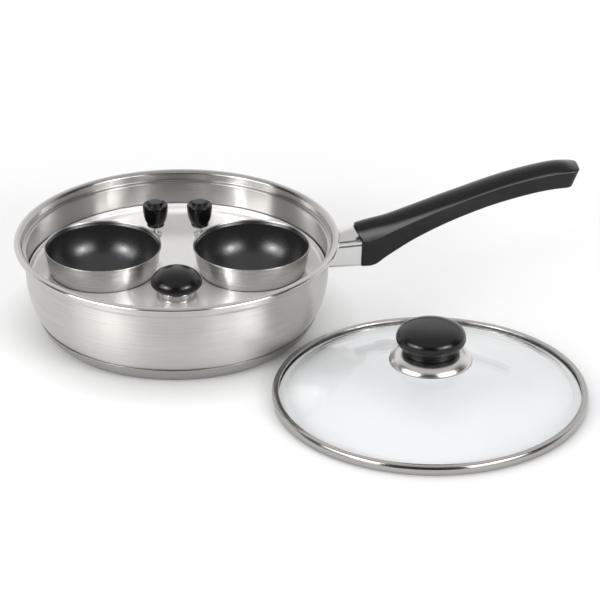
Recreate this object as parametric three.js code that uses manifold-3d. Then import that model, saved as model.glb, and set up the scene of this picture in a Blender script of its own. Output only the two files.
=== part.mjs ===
// Egg poacher pan: a steel pan with an encapsulated base and a moulded handle, a lift-out insert
// that carries two egg cups, and a domed glass lid that lies on the table beside the pan.
// Millimetres, +Z up. The origin is the middle of the base's underside, and +X runs along the handle.
import * as THREE from 'three';
import { mergeVertices } from 'three/addons/utils/BufferGeometryUtils.js';
import Module from 'manifold-3d';

const wasm = await Module();
wasm.setup();

// Clearances
const GAP = 0.3; // between a piece and the curved or turned piece that it touches
const FACE_GAP = 0.1; // between two flat faces that are clamped together
const WEDGE_GAP = 0.45; // between the insert's lip and the wall that it wedges in
const BORE_GAP = 0.3; // round a shank in its hole

// Facets round one turn
const PAN_SIDES = 40;
const CUP_SIDES = 28;
const KNOB_SIDES = 20;
const SCREW_SIDES = 10;

// Pan body: a drawn steel shell with a stepped mouth
const LIP_RADIUS = 104;
const LIP_OVERHANG = 4; // lip beyond the outside of the mouth band
const LIP_EDGE = 1.4; // height of the rolled lip
const LIP_FLARE = 2.2; // height over which the mouth band turns out into the lip
const WALL_INSET = 6.8; // outside of the straight wall, in from the lip
const SHELL_SHEET = 1;
const CORNER_SWEEP = 16.6; // how far the lower corner runs in from the wall
const TAPER_ABOVE = 6; // the wall starts to draw in this far above the insert's plate
const LEDGE_DEPTH = 6.6; // lid ledge below the lip
const LEDGE_ROUND = 0.8;
const STEP_RISE = 2.6; // height of the outward step that forms the ledge

// Base: an aluminium core under a pressed steel cap
const CAP_SHEET = 0.7;
const CORE_THICKNESS = 4.1;
const SEAM_HEIGHT = 10.2; // top edge of the cap
const FOOT_INSET = 6.8; // edge of the flat underside, in from the cap's top edge
const FOOT_ROUND = 1.3;
const CAP_BULGE = 0.8;

// Heights that stack up from the pan's floor
const WATER_DEPTH = 11; // floor to the underside of the cups
const CUP_DEPTH = 34.3;
const CUP_STAND = 17.3; // cup rim above the insert's plate
const INSERT_DEPTH = 25.9; // insert's plate below the lip

// Insert: a flat plate with a turned-up lip, two cup holes and a lifting knob
const INSERT_TURN = -6; // degrees, as it happens to lie in the pan
const INSERT_SHEET = 0.9;
const INSERT_LIP = 4.2; // lip height above the plate
const INSERT_FILLET = 2.6;
const INSERT_KNOB_OUT = 32; // knob axis from the middle, towards the viewer
const COLLAR_RADIUS = 12.5;
const COLLAR_HEIGHT = 5;
const COLLAR_SHEET = 0.9;
const INSERT_KNOB_RADIUS = 16.4;
const INSERT_KNOB_HEIGHT = 13.4;
const INSERT_SCREW_RADIUS = 2;
const INSERT_WASHER = 5.8; // outer radius

// Egg cups: pressed bowls that hang in the insert's holes by their taper
const CUP_RADIUS = 37.7; // outside of the rim
const CUP_LIP = 1.2; // rim beyond the bowl's wall
const CUP_SHEET = 0.9;
const CUP_SWEEP = 44; // depth at which the bowl's ellipse would close
const CUP_FLOOR_ROUND = 4;
const CUP_MARGIN = 9.3; // from the cup's rim to the insert's lip
const CUP_BACK = 4.3; // cups sit this far behind the pan's middle
const BRACKET_ANGLE = 37.5; // degrees, from the line through both cups towards the back
const BRACKET_WIDTH = 9;
const BRACKET_SHEET = 1.2;
const BRACKET_DROP = 4.7; // bracket's tab below the rim
const BRACKET_LEG = 7;
const KNOB_OUT = 4.5; // cup knob's axis beyond the rim
const TAB_END = 3.8; // tab beyond the knob's axis
const CUP_KNOB_LIFT = 2; // knob's foot above the rim
const CUP_KNOB_RADIUS = 8.3;
const CUP_KNOB_HEIGHT = 16.4;
const CUP_STUD_RADIUS = 1.6;

// Handle: a bracket welded to the wall, a steel ferrule over it, and a moulded grip
const FERRULE_LENGTH = 20.6; // from the wall to the grip
const FERRULE_HALF = 10;
const FERRULE_SHEET = 1.2;
const FERRULE_CROWN = 3.6;
const FERRULE_HEIGHT = 18.2; // underside to the side ridge
const FERRULE_RIDGE_BELOW = 6.1; // side ridge below the pan's lip
const GRIP_LENGTH = 142;
const GRIP_PROUD = 0.6; // grip's front beyond the ferrule's side
const GRIP_HALF_BACK = 10;
const GRIP_TIP_ROUND = 7;
const GRIP_TIP_FACE = 0.45; // end face, as a share of the full section
const GRIP_EDGE_ROUND = 1.6;
const SPIGOT_LENGTH = 6; // part of the grip inside the ferrule
const PLATE_SHEET = 1.5;
const PLATE_CLEAR = 0.4; // plate's edge to the inside of the ferrule
const PLATE_HEIGHT = 9.4;
const TONGUE_HALF = 5;
const TONGUE_THICKNESS = 3;
const TONGUE_REACH = 16; // tongue inside the grip
const HANDLE_SCREW_RADIUS = 1.5;
const HANDLE_SCREW_IN = 8; // screw from the grip's front face
const HANDLE_SCREW_SUNK = 1.6; // head above the grip's underside
const HANDLE_SCREW_PAST = 5; // tip above the tongue

// Lid: tempered glass in a steel rim, with a knob screwed through the middle
const LID_PLAY = 1.2; // rim to the mouth band, all round
const LID_CLEAR = 2.9; // between the lid's rim and the pan's base as they stand
const LID_BEARING = -40.6; // degrees from the handle, where the lid lies on the table
const RIM_SHEET = 0.8;
const RIM_LIP = 4.5; // how far the rim's lips reach in over the glass
const GLASS = 4.1;
const GLASS_FLANGE = 6.5; // flat border of the glass
const GLASS_CHAMFER = 0.6;
const GLASS_HOLE_CLEAR = 2; // glass hole round the screw
const DOME_RISE = 23.7;
const SKIRT_RADIUS = 25.6;
const SKIRT_SHEET = 1;
const GASKET_RADIUS = 14;
const WASHER_THICKNESS = 1;
const LID_KNOB_RADIUS = 21.3;
const LID_KNOB_NECK = 17;
const LID_KNOB_HEIGHT = 19;
const RIB_DEPTH = 0.9; // grooves round the knob's neck
const LID_SCREW_RADIUS = 2.5;

// Fasteners and bushes
const SCREW_HEAD = 2.6; // height of the rounded heads
const HEAD_WIDTH = 2.2; // head beyond its hole
const BUSH_WALL = 2;
const BUSH_SHARE = 0.62; // of a knob's height
const SHORT_OF_TIP = 1; // screw's end below the bush's top

// Colours and finishes
const FINISH = {
  steel: { color: 0xc9c7c3, roughness: 0.32, metalness: 1 },
  polished: { color: 0xe4e3e1, roughness: 0.08, metalness: 1 },
  aluminium: { color: 0xb9bcbf, roughness: 0.45, metalness: 1 },
  brass: { color: 0xb8944c, roughness: 0.35, metalness: 1 },
  coated: { color: 0x8f8d8b, roughness: 0.4, metalness: 0.9 },
  phenolic: { color: 0x151516, roughness: 0.35, metalness: 0 },
  silicone: { color: 0x3a3a3a, roughness: 0.7, metalness: 0 },
  glass: { color: 0xe6efee, roughness: 0.02, metalness: 0, transparent: true, opacity: 0.35 },
};

// Geometry helpers

// A geometry with shared vertices, no flat triangles, and its faces pointing out
function closed(geometry) {
  const bare = geometry.clone();
  bare.deleteAttribute('normal');
  bare.deleteAttribute('uv');
  const merged = mergeVertices(bare, 1e-4);
  const at = merged.attributes.position;
  const index = merged.index.array;
  const corner = [new THREE.Vector3(), new THREE.Vector3(), new THREE.Vector3()];
  const faces = [];
  let volume = 0;
  for (let i = 0; i < index.length; i += 3) {
    const [a, b, c] = [index[i], index[i + 1], index[i + 2]];
    if (a === b || b === c || c === a) continue;
    corner.forEach((v, k) => v.fromBufferAttribute(at, [a, b, c][k]));
    volume += corner[0].dot(corner[1].clone().cross(corner[2]));
    faces.push(a, b, c);
  }
  if (volume < 0) faces.reverse();
  merged.setIndex(faces);
  return merged;
}

// A solid of revolution about +Z from [radius, height] points, closed on the axis or on itself
function lathe(points, sides) {
  const onAxis = points[0][0] === 0 && points.at(-1)[0] === 0;
  const loop = onAxis ? points : [...points, points[0]];
  const outline = loop.map(([r, z]) => new THREE.Vector2(r, z));
  return closed(new THREE.LatheGeometry(outline, sides).rotateX(Math.PI / 2));
}

// Points of an elliptical arc from one angle to another, in degrees, ends included
function arc(r, z, a, b, from, to, steps) {
  const points = [];
  for (let i = 0; i <= steps; i++) {
    const t = THREE.MathUtils.degToRad(from + (to - from) * i / steps);
    points.push([r + a * Math.cos(t), z + b * Math.sin(t)]);
  }
  return points;
}

const toSolid = (geometry) => new wasm.Manifold(new wasm.Mesh({
  numProp: 3,
  vertProperties: new Float32Array(geometry.attributes.position.array),
  triVerts: new Uint32Array(geometry.index.array),
}));

function toGeometry(solid) {
  const mesh = solid.getMesh();
  const geometry = new THREE.BufferGeometry();
  geometry.setAttribute('position', new THREE.BufferAttribute(mesh.vertProperties, 3));
  geometry.setIndex(new THREE.BufferAttribute(mesh.triVerts, 1));
  return geometry;
}

const cut = (geometry, ...tools) =>
  toGeometry(tools.reduce((solid, tool) => solid.subtract(toSolid(tool)), toSolid(geometry)));
const join = (a, b) => toGeometry(toSolid(a).add(toSolid(b)));
const common = (a, b) => toGeometry(toSolid(a).intersect(toSolid(b)));

// A box from its lowest to its highest corner
function block(low, high) {
  const size = high.map((v, i) => v - low[i]);
  const middle = high.map((v, i) => (v + low[i]) / 2);
  return closed(new THREE.BoxGeometry(...size).translate(...middle));
}

// A round bar along +Z
const bar = (radius, low, high, sides = SCREW_SIDES) =>
  lathe([[0, low], [radius, low], [radius, high], [0, high]], sides);

// A flat washer or plain bush
const ring = (inner, outer, low, high, sides = KNOB_SIDES) =>
  lathe([[inner, low], [outer, low], [outer, high], [inner, high]], sides);

// A screw along +Z: a rounded head under its shank
function screw(radius, headRadius, underHead, tip) {
  const low = underHead - SCREW_HEAD;
  const chamfer = radius / 3;
  return lathe([
    [0, low], [headRadius * 0.7, low], [headRadius, low + SCREW_HEAD * 0.45], [headRadius, underHead],
    [radius, underHead], [radius, tip - chamfer], [radius - chamfer, tip], [0, tip],
  ], SCREW_SIDES);
}

// A solid through rings of points, closed by a fan at each end
function loft(rings) {
  const count = rings[0].length;
  const points = rings.flat();
  const faces = [];
  for (let i = 0; i + 1 < rings.length; i++) {
    for (let k = 0; k < count; k++) {
      const [a, b] = [i * count + k, i * count + (k + 1) % count];
      faces.push(a, b, b + count, a, b + count, a + count);
    }
  }
  const last = (rings.length - 1) * count;
  for (let k = 1; k + 1 < count; k++) {
    faces.push(0, k + 1, k, last, last + k, last + k + 1);
  }
  const geometry = new THREE.BufferGeometry().setFromPoints(points);
  geometry.setIndex(faces);
  return closed(geometry);
}

function mesh(name, geometry, finish) {
  const node = new THREE.Mesh(geometry, new THREE.MeshStandardMaterial(FINISH[finish]));
  node.name = name;
  return node;
}

// Heights and radii that follow from the driving dimensions
const panUnderside = CAP_SHEET + CORE_THICKNESS + 2 * FACE_GAP;
const floorZ = panUnderside + SHELL_SHEET;
const cupRimZ = floorZ + WATER_DEPTH + CUP_DEPTH;
const plateZ = cupRimZ - CUP_STAND;
const lipZ = plateZ + INSERT_DEPTH;
const ledgeZ = lipZ - LEDGE_DEPTH;
const wallTurnZ = plateZ + TAPER_ABOVE;
const wallRadius = LIP_RADIUS - WALL_INSET;
const cornerRadius = wallRadius - CORNER_SWEEP;
const bandRadius = LIP_RADIUS - LIP_OVERHANG;
const bandInner = bandRadius - SHELL_SHEET;
const lidRadius = bandInner - LID_PLAY;
const ledgeInner = wallRadius - SHELL_SHEET;

// Radius of the pan's wall at a height, on its outside or, inset by the sheet, on its inside
function wallAt(z, inset = 0) {
  const reach = Math.max(0, (wallTurnZ - z) / (wallTurnZ - panUnderside - inset));
  return cornerRadius + (CORNER_SWEEP - inset) * Math.sqrt(1 - Math.min(1, reach) ** 2);
}

// Outside of the pan from its underside up to the lip, grown by a clearance
function panOutside(grow = 0) {
  const stepZ = ledgeZ - STEP_RISE;
  return [
    [0, panUnderside - grow],
    ...arc(cornerRadius, wallTurnZ, CORNER_SWEEP + grow, wallTurnZ - panUnderside + grow, -90, 0, 6),
    [wallRadius + grow, stepZ],
    [bandRadius + grow, ledgeZ - LEDGE_ROUND / 2],
    [bandRadius + grow, lipZ - LIP_FLARE],
    [LIP_RADIUS - LIP_EDGE / 2 + grow, lipZ - LIP_EDGE - grow],
    [LIP_RADIUS + grow, lipZ - LIP_EDGE / 2],
  ];
}

// Pan body, base core and base cap
function panShell() {
  const depth = wallTurnZ - floorZ;
  const inside = [
    [LIP_RADIUS - LIP_EDGE / 2, lipZ],
    [bandInner + LIP_EDGE, lipZ],
    [bandInner, lipZ - LIP_EDGE],
    [bandInner, ledgeZ + LEDGE_ROUND],
    [bandInner - LEDGE_ROUND, ledgeZ],
    [ledgeInner + LEDGE_ROUND, ledgeZ],
    [ledgeInner, ledgeZ - LEDGE_ROUND],
    ...arc(cornerRadius, wallTurnZ, CORNER_SWEEP - SHELL_SHEET, depth, 0, -90, 6),
    [0, floorZ],
  ];
  return lathe([...panOutside(), ...inside], PAN_SIDES);
}

const capEdge = wallAt(SEAM_HEIGHT) + GAP + CAP_SHEET;
const footRadius = capEdge - FOOT_INSET;
const coreRadius = footRadius - FOOT_ROUND - CAP_SHEET;

function baseCap() {
  // One side of the cap: flat underside, rounded foot, then a gentle bulge up to the seam
  const skin = (inset) => {
    const foot = [footRadius - inset, FOOT_ROUND];
    const edge = [capEdge - inset, SEAM_HEIGHT];
    const middle = [(foot[0] + edge[0]) / 2 + CAP_BULGE, (foot[1] + edge[1]) / 2 - CAP_BULGE];
    return [[0, inset], [foot[0] - FOOT_ROUND, inset], foot, middle, edge];
  };
  return lathe([...skin(0), ...skin(CAP_SHEET).reverse()], PAN_SIDES);
}

function baseCore() {
  const low = CAP_SHEET + FACE_GAP;
  const high = low + CORE_THICKNESS;
  return lathe([[0, low], [coreRadius - 1, low], [coreRadius, low + 1], [coreRadius, high], [0, high]],
    PAN_SIDES);
}

// Handle
const gripFront = wallRadius + FERRULE_LENGTH;
const ridgeZ = lipZ - FERRULE_RIDGE_BELOW;
const ferruleLow = ridgeZ - FERRULE_HEIGHT;
const plateInner = wallRadius + GAP;
const plateOuter = plateInner + PLATE_SHEET;
const plateHalf = FERRULE_HALF - FERRULE_SHEET - PLATE_CLEAR;
const plateTop = ledgeZ - STEP_RISE - GAP;
const tongueLow = plateTop - PLATE_HEIGHT / 2 - TONGUE_THICKNESS / 2;

// Ferrule outline in [sideways, height], drawn in by an inset: flat sides under a crowned top
function ferruleOutline(inset) {
  const half = FERRULE_HALF - inset;
  const crown = arc(0, ridgeZ - inset / 2, half, FERRULE_CROWN - inset / 2, 0, 180, 8);
  return [[-half + 1, ferruleLow + inset], [half - 1, ferruleLow + inset], [half, ferruleLow + inset + 1],
    ...crown, [-half, ferruleLow + inset + 1]];
}

// A bar along +X with a [sideways, height] outline
const extrudeX = (outline, from, to) =>
  loft([from, to].map((x) => outline.map(([y, z]) => new THREE.Vector3(x, y, z))));

// The room that the pan takes up, with a gap round it
const panRoom = () => lathe([...panOutside(GAP), [LIP_RADIUS, lipZ + GAP], [0, lipZ + GAP]], PAN_SIDES);

function ferrule() {
  const start = wallRadius - 2 * FERRULE_SHEET;
  const end = gripFront - GAP;
  const tube = extrudeX(ferruleOutline(0), start, end);
  const bore = extrudeX(ferruleOutline(FERRULE_SHEET), start - 1, end + 1);
  return cut(tube, bore, panRoom());
}

// Grip outlines seen from the side, in share of its length and height above the ferrule's ridge
const GRIP_TOP = [[0, 6.6], [0.12, 11.9], [0.25, 18.5], [0.48, 29.7], [0.7, 39.6], [0.87, 44.4], [1, 44.6]];
const GRIP_RIDGE = [[0, 0], [0.06, 0.1], [0.24, 11.6], [0.46, 24.4], [0.69, 34.8], [0.88, 40], [1, 41.2]];
const GRIP_UNDERSIDE = [[0, -18.4], [0.07, -18.2], [0.17, -8], [0.35, 6.4], [0.58, 19.3], [0.8, 27.2],
  [1, 29.6]];

// Height of a grip outline at a share of the length, on a smooth curve through its points
function heightAt(outline, share) {
  const curve = new THREE.SplineCurve(outline.map(([s, h]) => new THREE.Vector2(s, h)));
  const samples = curve.getPoints(120);
  const next = samples.findIndex((p) => p.x >= share);
  if (next < 1) return samples[0].y;
  const [a, b] = [samples[next - 1], samples[next]];
  return THREE.MathUtils.mapLinear(share, a.x, b.x, a.y, b.y);
}

// One ring of the grip: flat underside, upright sides and a crowned top, drawn in near the tip
function gripRing(share) {
  const left = (1 - share) * GRIP_LENGTH;
  const tip = Math.min(1, left / GRIP_TIP_ROUND);
  const draw = THREE.MathUtils.lerp(GRIP_TIP_FACE, 1, Math.sqrt(1 - (1 - tip) ** 2));
  const half = THREE.MathUtils.lerp(FERRULE_HALF + GRIP_PROUD, GRIP_HALF_BACK, share) * draw;
  const top = heightAt(GRIP_RIDGE, share);
  const low = heightAt(GRIP_UNDERSIDE, share);
  const crown = (heightAt(GRIP_TOP, share) - top) * draw;
  const middle = (top + low) / 2;
  const ridge = ridgeZ + middle + (top - middle) * draw;
  const under = ridgeZ + middle + (low - middle) * draw;
  const round = GRIP_EDGE_ROUND * draw;
  const outline = [[-half + round, under], [half - round, under], [half, under + round],
    ...arc(0, ridge, half, crown, 0, 180, 6), [-half, under + round]];
  return outline.map(([y, z]) => new THREE.Vector3(gripFront + share * GRIP_LENGTH, y, z));
}

const handleScrewX = gripFront + HANDLE_SCREW_IN;
const handleScrewSeat = ferruleLow + HANDLE_SCREW_SUNK + SCREW_HEAD;
const handleScrewTip = tongueLow + TONGUE_THICKNESS + HANDLE_SCREW_PAST;

function grip() {
  const shares = [0, 0.06, 0.12, 0.18, 0.26, 0.36, 0.48, 0.62, 0.78, 0.93, 0.97, 0.99, 1];
  const body = loft(shares.map(gripRing));
  const spigot = extrudeX(ferruleOutline(FERRULE_SHEET + GAP), gripFront - SPIGOT_LENGTH, gripFront + 1);
  const slot = block(
    [gripFront - SPIGOT_LENGTH - 1, -TONGUE_HALF - GAP, tongueLow - GAP],
    [gripFront + TONGUE_REACH + GAP, TONGUE_HALF + GAP, tongueLow + TONGUE_THICKNESS + GAP]);
  const below = ferruleLow - SPIGOT_LENGTH;
  const hole = bar(HANDLE_SCREW_RADIUS + BORE_GAP, below, handleScrewTip + GAP);
  const recess = bar(HANDLE_SCREW_RADIUS * 2 + 2 * BORE_GAP, below, handleScrewSeat + FACE_GAP);
  const atScrew = [hole, recess].map((tool) => tool.translate(handleScrewX, 0, 0));
  return cut(join(body, spigot), slot, ...atScrew);
}

function bracket() {
  const low = plateTop - PLATE_HEIGHT;
  const plate = common(
    ring(plateInner, plateOuter, low, plateTop, PAN_SIDES),
    block([0, -plateHalf, low - 1], [plateOuter + 1, plateHalf, plateTop + 1]));
  const tongue = block(
    [plateInner + PLATE_SHEET / 3, -TONGUE_HALF, tongueLow],
    [gripFront + TONGUE_REACH, TONGUE_HALF, tongueLow + TONGUE_THICKNESS]);
  const screwHole = bar(HANDLE_SCREW_RADIUS + BORE_GAP, tongueLow - 1, tongueLow + TONGUE_THICKNESS + 1);
  return cut(join(plate, tongue), screwHole.translate(handleScrewX, 0, 0));
}

function buildPan() {
  const pan = new THREE.Group();
  pan.add(
    mesh('pan_body', panShell(), 'steel'),
    mesh('base_core', baseCore(), 'aluminium'),
    mesh('base_cap', baseCap(), 'steel'),
    mesh('handle_bracket', bracket(), 'steel'),
    mesh('handle_ferrule', ferrule(), 'steel'),
    mesh('handle_grip', grip(), 'phenolic'),
  );
  const fastener = screw(HANDLE_SCREW_RADIUS, HANDLE_SCREW_RADIUS * 2, handleScrewSeat, handleScrewTip);
  pan.add(mesh('handle_screw', fastener.translate(handleScrewX, 0, 0), 'steel'));
  return pan;
}

// Insert
const insertRadius = wallAt(plateZ + INSERT_FILLET, SHELL_SHEET) - WEDGE_GAP;
const cupAcross = insertRadius - INSERT_SHEET - CUP_MARGIN - CUP_RADIUS;

// Outside radius of a cup's bowl at a depth below its rim
const bowlAt = (depth) => (CUP_RADIUS - CUP_LIP) * Math.sqrt(1 - (depth / CUP_SWEEP) ** 2);

function insertPlate() {
  const outer = INSERT_FILLET + INSERT_SHEET;
  const fillet = [insertRadius - outer, plateZ + INSERT_FILLET];
  const plate = lathe([
    [0, plateZ - INSERT_SHEET], ...arc(...fillet, outer, outer, -90, 0, 3),
    [insertRadius, plateZ + INSERT_LIP - 0.3], [insertRadius - INSERT_SHEET / 2, plateZ + INSERT_LIP],
    [insertRadius - INSERT_SHEET, plateZ + INSERT_LIP - 0.3],
    ...arc(...fillet, INSERT_FILLET, INSERT_FILLET, 0, -90, 3), [0, plateZ],
  ], PAN_SIDES);
  const low = plateZ - INSERT_SHEET - 1;
  const cupHole = (side) =>
    bar(bowlAt(CUP_STAND) + GAP, low, plateZ + 1, CUP_SIDES).translate(side * cupAcross, CUP_BACK, 0);
  const screwHole = bar(INSERT_SCREW_RADIUS + BORE_GAP, low, plateZ + 1).translate(0, -INSERT_KNOB_OUT, 0);
  return cut(plate, cupHole(-1), cupHole(1), screwHole);
}

// The insert's knob on its own axis: collar, mushroom knob, bush, washer and screw
function insertKnob() {
  const group = new THREE.Group();
  const collarLow = plateZ + FACE_GAP;
  const collarTop = collarLow + COLLAR_HEIGHT;
  const bore = INSERT_SCREW_RADIUS + BORE_GAP;
  const web = collarTop - COLLAR_SHEET;
  const inner = COLLAR_RADIUS - COLLAR_SHEET;
  const collar = lathe([[bore, web], [inner, web], [inner, collarLow], [COLLAR_RADIUS, collarLow],
    [COLLAR_RADIUS, web], [inner, collarTop], [bore, collarTop]], KNOB_SIDES);

  const low = collarTop + FACE_GAP;
  const top = low + INSERT_KNOB_HEIGHT;
  const widest = low + INSERT_KNOB_HEIGHT * 0.28;
  const bushRadius = bore + BUSH_WALL;
  const bushTop = low + INSERT_KNOB_HEIGHT * BUSH_SHARE;
  const knob = lathe([
    [bushRadius + BORE_GAP, low], [COLLAR_RADIUS, low],
    [INSERT_KNOB_RADIUS * 0.95, widest - INSERT_KNOB_HEIGHT * 0.1],
    ...arc(0, widest, INSERT_KNOB_RADIUS, top - widest, 0, 90, 7).slice(0, -1), [0, top],
    [0, bushTop + GAP], [bushRadius + BORE_GAP, bushTop + GAP],
  ], KNOB_SIDES);

  const washerTop = plateZ - INSERT_SHEET - FACE_GAP;
  const headSeat = washerTop - WASHER_THICKNESS - FACE_GAP;
  const fastener = screw(INSERT_SCREW_RADIUS, bore + HEAD_WIDTH, headSeat, bushTop - SHORT_OF_TIP);
  group.add(
    mesh('insert_knob_collar', collar, 'polished'),
    mesh('insert_knob', knob, 'phenolic'),
    mesh('insert_knob_bush', ring(bore, bushRadius, low, bushTop, SCREW_SIDES), 'brass'),
    mesh('insert_washer', ring(bore, INSERT_WASHER, washerTop - WASHER_THICKNESS, washerTop), 'steel'),
    mesh('insert_screw', fastener, 'steel'),
  );
  group.position.y = -INSERT_KNOB_OUT;
  return group;
}

// Egg cups, each on its own axis
function cupShell() {
  const wall = CUP_RADIUS - CUP_LIP;
  const edge = CUP_LIP / 2;
  const floor = cupRimZ - CUP_DEPTH;
  // The bowl's ellipse from near the rim down to the rounded corner of its flat floor
  const bowl = (inset) => {
    const lowest = CUP_DEPTH - CUP_FLOOR_ROUND;
    const points = [];
    for (let i = 0; i <= 4; i++) {
      const depth = THREE.MathUtils.lerp(2.4 * CUP_LIP, lowest, i / 4);
      points.push([bowlAt(depth) - inset, cupRimZ - depth]);
    }
    points.push([bowlAt(lowest) - inset - CUP_FLOOR_ROUND * 0.8, floor + inset + 0.8]);
    return [...points, [bowlAt(lowest) - inset - CUP_FLOOR_ROUND * 1.8, floor + inset], [0, floor + inset]];
  };
  return lathe([
    ...bowl(0).reverse(), [CUP_RADIUS, cupRimZ - CUP_LIP], [CUP_RADIUS, cupRimZ - edge / 2],
    [CUP_RADIUS - edge, cupRimZ], [wall - CUP_SHEET + edge, cupRimZ - edge / 2], ...bowl(CUP_SHEET),
  ], CUP_SIDES);
}

const knobAxis = CUP_RADIUS + KNOB_OUT;
const tabTop = cupRimZ - BRACKET_DROP;
const tabLow = tabTop - BRACKET_SHEET;

function cupBracket() {
  const legLow = tabLow - BRACKET_LEG;
  const against = (z) => bowlAt(cupRimZ - z) + GAP;
  const strip = lathe([
    [against(legLow), legLow], [against(legLow) + BRACKET_SHEET, legLow],
    [against(tabLow) + BRACKET_SHEET, tabLow], [knobAxis + TAB_END, tabLow],
    [knobAxis + TAB_END, tabTop], [against(tabTop), tabTop],
  ], CUP_SIDES);
  const width = block([0, -BRACKET_WIDTH / 2, legLow - 1],
    [knobAxis + TAB_END + 1, BRACKET_WIDTH / 2, tabTop + 1]);
  const hole = bar(CUP_STUD_RADIUS + BORE_GAP, tabLow - 1, tabTop + 1).translate(knobAxis, 0, 0);
  return cut(common(strip, width), hole);
}

function cupKnob() {
  const low = cupRimZ + CUP_KNOB_LIFT;
  const at = (radius, height) => [CUP_KNOB_RADIUS * radius, low + CUP_KNOB_HEIGHT * height];
  const bore = CUP_STUD_RADIUS + BORE_GAP;
  const blind = low + CUP_KNOB_HEIGHT * 0.6 + GAP;
  return lathe([
    [bore, low], at(0.66, 0), at(0.68, 0.08), at(0.58, 0.14), at(0.78, 0.38), at(0.95, 0.62), at(1, 0.8),
    at(0.93, 0.9), at(0.8, 0.92), at(0.62, 0.86), at(0.56, 0.97), at(0.44, 1), [0, low + CUP_KNOB_HEIGHT],
    [0, blind], [bore, blind],
  ], KNOB_SIDES);
}

function buildCup(side) {
  const name = side < 0 ? 'cup_left' : 'cup_right';
  const lug = new THREE.Group();
  const headSeat = tabLow - FACE_GAP;
  const tip = cupRimZ + CUP_KNOB_LIFT + CUP_KNOB_HEIGHT * 0.6;
  const stud = screw(CUP_STUD_RADIUS, CUP_STUD_RADIUS * 1.9, headSeat, tip).translate(knobAxis, 0, 0);
  lug.add(
    mesh(`${name}_bracket`, cupBracket(), 'steel'),
    mesh(`${name}_knob`, cupKnob().translate(knobAxis, 0, 0), 'phenolic'),
    mesh(`${name}_stud`, stud, 'steel'),
  );
  lug.rotation.z = THREE.MathUtils.degToRad(side < 0 ? BRACKET_ANGLE : 180 - BRACKET_ANGLE);
  const cup = new THREE.Group();
  cup.add(mesh(`${name}_bowl`, cupShell(), 'coated'), lug);
  cup.position.set(side * cupAcross, CUP_BACK, 0);
  return cup;
}

function buildInsert() {
  const insert = new THREE.Group();
  insert.add(mesh('insert_plate', insertPlate(), 'polished'), insertKnob(), buildCup(-1), buildCup(1));
  insert.rotation.z = THREE.MathUtils.degToRad(INSERT_TURN);
  return insert;
}

// Lid, standing on the table on its own axis
const glassRadius = lidRadius - RIM_SHEET - GAP;
const glassLow = RIM_SHEET + GAP;
const glassTop = glassLow + GLASS;
const domeRadius = glassRadius - GLASS_FLANGE;
const domeCurve = (domeRadius ** 2 + DOME_RISE ** 2) / (2 * DOME_RISE);
const apexZ = glassTop + DOME_RISE;
const glassBore = LID_SCREW_RADIUS + GLASS_HOLE_CLEAR;

// Height of the dome's outside, or of its inside when inset by the glass
const domeAt = (r, inset = 0) => apexZ - domeCurve + Math.sqrt((domeCurve - inset) ** 2 - r ** 2);

function lidGlass() {
  const face = (inset) => {
    const points = [[glassBore, domeAt(glassBore, inset)]];
    for (let i = 0; i <= 4; i++) {
      const r = THREE.MathUtils.lerp(GASKET_RADIUS, domeRadius - inset / 3, i / 4);
      points.push([r, Math.max(domeAt(r, inset), glassTop - inset)]);
    }
    return points;
  };
  return lathe([
    ...face(0), [glassRadius - GLASS_CHAMFER, glassTop], [glassRadius, glassTop - GLASS_CHAMFER],
    [glassRadius, glassLow + GLASS_CHAMFER], [glassRadius - GLASS_CHAMFER, glassLow],
    ...face(GLASS).reverse(),
  ], PAN_SIDES);
}

// A C-shaped band that wraps the glass's edge
function lidRim() {
  const inner = lidRadius - RIM_LIP;
  const skin = lidRadius - RIM_SHEET;
  const top = glassTop + GAP + RIM_SHEET;
  return lathe([
    [inner, 0], [lidRadius - 0.7, 0], [lidRadius, 0.7], [lidRadius, top - 1], [lidRadius - 1, top],
    [inner, top], [inner, top - RIM_SHEET], [skin, top - RIM_SHEET], [skin, RIM_SHEET], [inner, RIM_SHEET],
  ], PAN_SIDES);
}

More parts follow.
